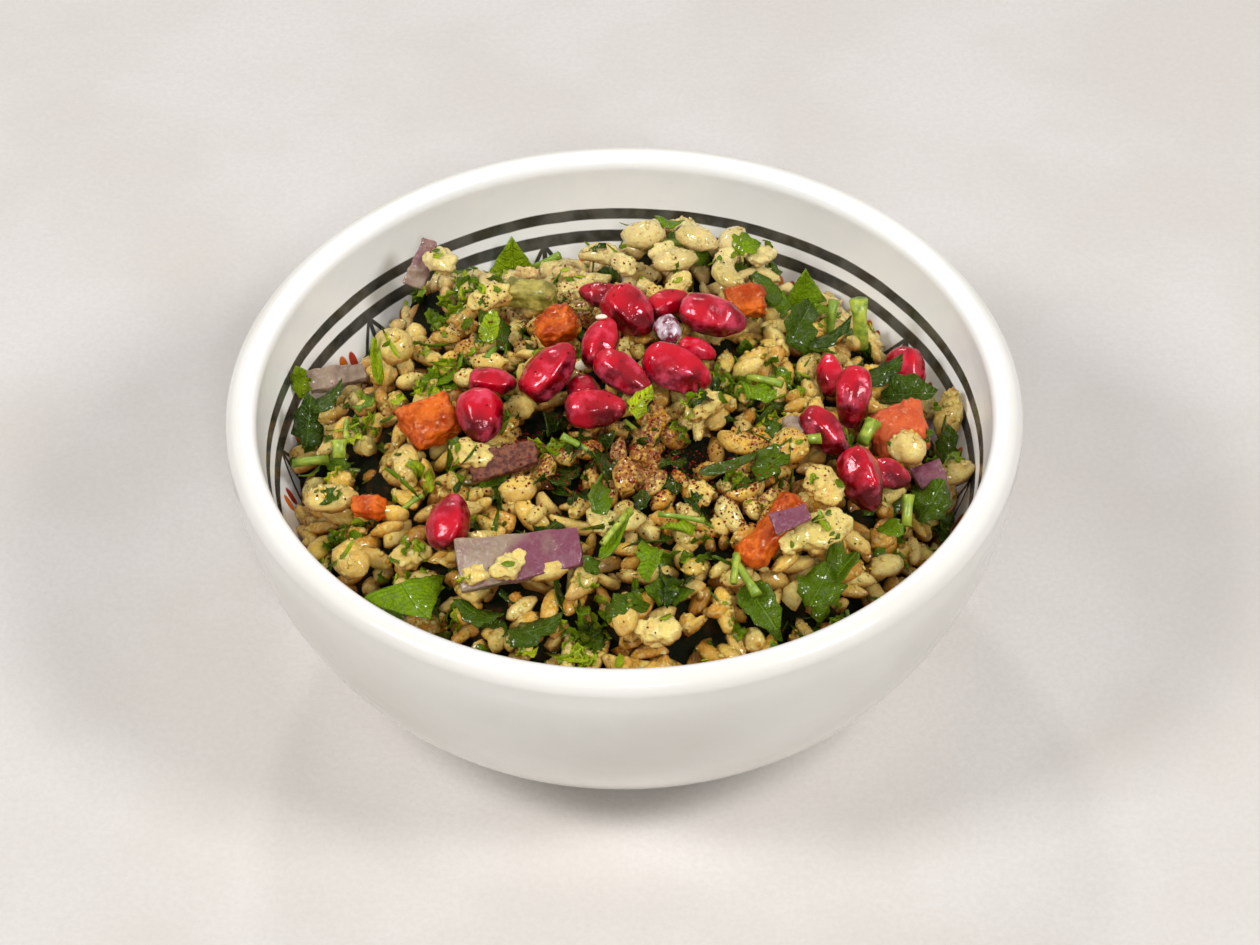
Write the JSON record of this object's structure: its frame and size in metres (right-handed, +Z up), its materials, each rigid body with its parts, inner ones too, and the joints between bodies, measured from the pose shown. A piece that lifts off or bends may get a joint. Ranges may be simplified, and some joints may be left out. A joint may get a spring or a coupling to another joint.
{
  "type": "bowl of tabbouleh salad",
  "caption": "Round glazed bowl heaped with grain and chopped herb salad, topped with pomegranate arils and pieces of tomato and red onion; rests on its foot.",
  "frame": {"origin": "middle of the foot's underside, on the bowl's axis, at the level it stands on", "axes": "+Z up along the bowl's axis, -Y towards the side that the salad is seen from, +X to that viewer's right"},
  "size_m": [0.14, 0.14, 0.0689],
  "materials": {
    "bowl_glaze": "glossy off-white glaze with two black rings and brushed fans inside the rim",
    "grain_and_herb": "moist cooked grain, chopped parsley and leaves, dusted with dark red sumac",
    "aril_flesh": "wet, deep crimson, slightly see-through",
    "tomato_flesh": "moist orange-red cut flesh",
    "onion_flesh": "moist mauve-grey slips"
  },
  "bodies": {
    "root": {"bowl": "bowl_glaze", "salad": "grain_and_herb", "aril_01": "aril_flesh", "aril_02": "aril_flesh", "aril_03": "aril_flesh", "aril_04": "aril_flesh", "aril_05": "aril_flesh", "aril_06": "aril_flesh", "aril_07": "aril_flesh", "aril_08": "aril_flesh", "aril_09": "aril_flesh", "aril_10": "aril_flesh", "aril_11": "aril_flesh", "aril_12": "aril_flesh", "aril_13": "aril_flesh", "aril_14": "aril_flesh", "aril_15": "aril_flesh", "aril_16": "aril_flesh", "aril_17": "aril_flesh", "aril_18": "aril_flesh", "aril_19": "aril_flesh", "aril_20": "aril_flesh", "aril_21": "aril_flesh", "tomato_1": "tomato_flesh", "tomato_2": "tomato_flesh", "tomato_3": "tomato_flesh", "tomato_4": "tomato_flesh", "tomato_5": "tomato_flesh", "onion_1": "onion_flesh", "onion_2": "onion_flesh", "onion_3": "onion_flesh", "onion_4": "onion_flesh", "onion_5": "onion_flesh", "onion_6": "onion_flesh"}
  },
  "joints": []
}
